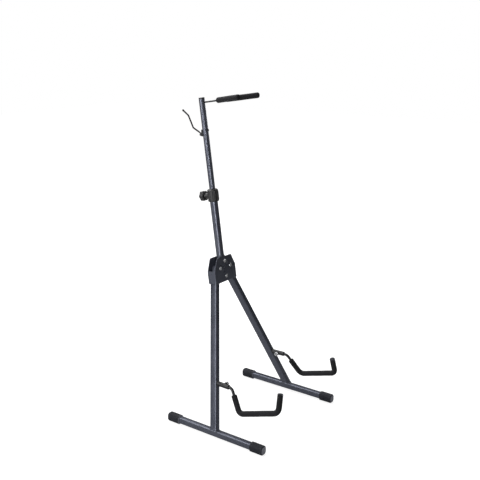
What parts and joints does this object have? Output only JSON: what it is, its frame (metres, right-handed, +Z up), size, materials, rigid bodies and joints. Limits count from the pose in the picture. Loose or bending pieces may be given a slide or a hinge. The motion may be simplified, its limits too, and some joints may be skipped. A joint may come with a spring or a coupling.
{
  "type": "cello stand",
  "caption": "Folding floor stand: hinged legs on level feet, padded cradle arms, a telescopic leaning post, a padded neck fork and a bow hook.",
  "frame": {"origin": "on the floor, under the middle of the stand's bounding box at rest", "axes": "+Z up, the front with the cradle arms and the fork towards -Y, +X to the right as seen from the front"},
  "size_m": [0.439, 0.4974, 1.0417],
  "materials": {
    "painted_steel": "satin charcoal powder coat",
    "black_paint": "satin black paint",
    "rubber": "matt moulded rubber",
    "foam": "matt closed-cell foam",
    "plastic": "fine grained black plastic",
    "zinc": "zinc plated steel"
  },
  "bodies": {
    "hub": {"hub_channel": "painted_steel", "hub_back_plate": "painted_steel", "bolt_pivot_left": "zinc", "bolt_pivot_right": "zinc", "bolt_post_lower": "zinc", "bolt_post_upper": "zinc", "nut_pivot_left": "zinc", "nut_pivot_right": "zinc", "nut_post_lower": "zinc", "nut_post_upper": "zinc", "lower_post_tube": "painted_steel", "lower_post_plug": "plastic", "clamp_collar": "plastic"},
    "leg_left": {"foot_tube_left": "painted_steel", "foot_cap_front_left": "rubber", "foot_cap_back_left": "rubber", "leg_tube_left": "painted_steel", "leg_pivot_sleeve_left": "zinc", "arm_socket_left": "painted_steel"},
    "arm_left": {"arm_rod_left": "black_paint", "arm_foam_left": "foam", "arm_end_cap_left": "rubber"},
    "arm_lock_left": {"arm_lock_screw_left": "zinc"},
    "leg_right": {"foot_tube_right": "painted_steel", "foot_cap_front_right": "rubber", "foot_cap_back_right": "rubber", "leg_tube_right": "painted_steel", "leg_pivot_sleeve_right": "zinc", "arm_socket_right": "painted_steel"},
    "arm_right": {"arm_rod_right": "black_paint", "arm_foam_right": "foam", "arm_end_cap_right": "rubber"},
    "arm_lock_right": {"arm_lock_screw_right": "zinc"},
    "upper_post": {"upper_post_tube": "painted_steel", "upper_post_bush": "plastic", "top_plug": "plastic", "fork_wire": "black_paint", "fork_foam_left": "foam", "fork_foam_right": "foam", "hook_saddle": "plastic", "hook_bolt": "black_paint", "hook_pin": "zinc"},
    "hook": {"hook_wire": "black_paint"},
    "hook_clamp": {"hook_knob": "plastic"},
    "height_clamp": {"height_screw": "zinc", "height_knob": "plastic"}
  },
  "joints": [
    {"name": "leg_fold_left", "type": "hinge", "parent": "hub", "child": "leg_left", "pos_m": [-0.026, 0.09838, 0.48084], "axis": [0, -0.9907, 0.1364], "range_deg": [0, 18]},
    {"name": "arm_swing_left", "type": "hinge", "parent": "leg_left", "child": "arm_left", "pos_m": [-0.1552, 0.00878, 0.154], "axis": [0.0384, 0.9993, 0], "range_deg": [-8, 90]},
    {"name": "arm_lock_turn_left", "type": "hinge", "parent": "leg_left", "child": "arm_lock_left", "pos_m": [-0.14756, -0.02687, 0.154], "axis": [0.9993, -0.0384, 0], "range_deg": [0, 360]},
    {"name": "leg_fold_right", "type": "hinge", "parent": "hub", "child": "leg_right", "pos_m": [0.026, 0.09838, 0.48084], "axis": [0, 0.9907, -0.1364], "range_deg": [0, 18]},
    {"name": "arm_swing_right", "type": "hinge", "parent": "leg_right", "child": "arm_right", "pos_m": [0.1552, 0.00878, 0.154], "axis": [0.0384, -0.9993, 0], "range_deg": [-8, 90]},
    {"name": "arm_lock_turn_right", "type": "hinge", "parent": "leg_right", "child": "arm_lock_right", "pos_m": [0.14756, -0.02687, 0.154], "axis": [-0.9993, -0.0384, 0], "range_deg": [0, 360]},
    {"name": "post_slide", "type": "slide", "parent": "hub", "child": "upper_post", "axis": [0, 0.1364, 0.9907], "range_m": [-0.07, 0.09]},
    {"name": "height_knob_turn", "type": "hinge", "parent": "hub", "child": "height_clamp", "pos_m": [0, 0.16003, 0.70859], "axis": [0, 0.9907, -0.1364], "range_deg": [0, 360]},
    {"name": "hook_swivel", "type": "hinge", "parent": "upper_post", "child": "hook", "pos_m": [0, 0.17184, 0.90582], "axis": [0, 0.9907, -0.1364], "range_deg": [-90, 90]},
    {"name": "hook_knob_turn", "type": "hinge", "parent": "upper_post", "child": "hook_clamp", "pos_m": [0, 0.17699, 0.90511], "axis": [0, 0.9907, -0.1364], "range_deg": [0, 360]}
  ]
}
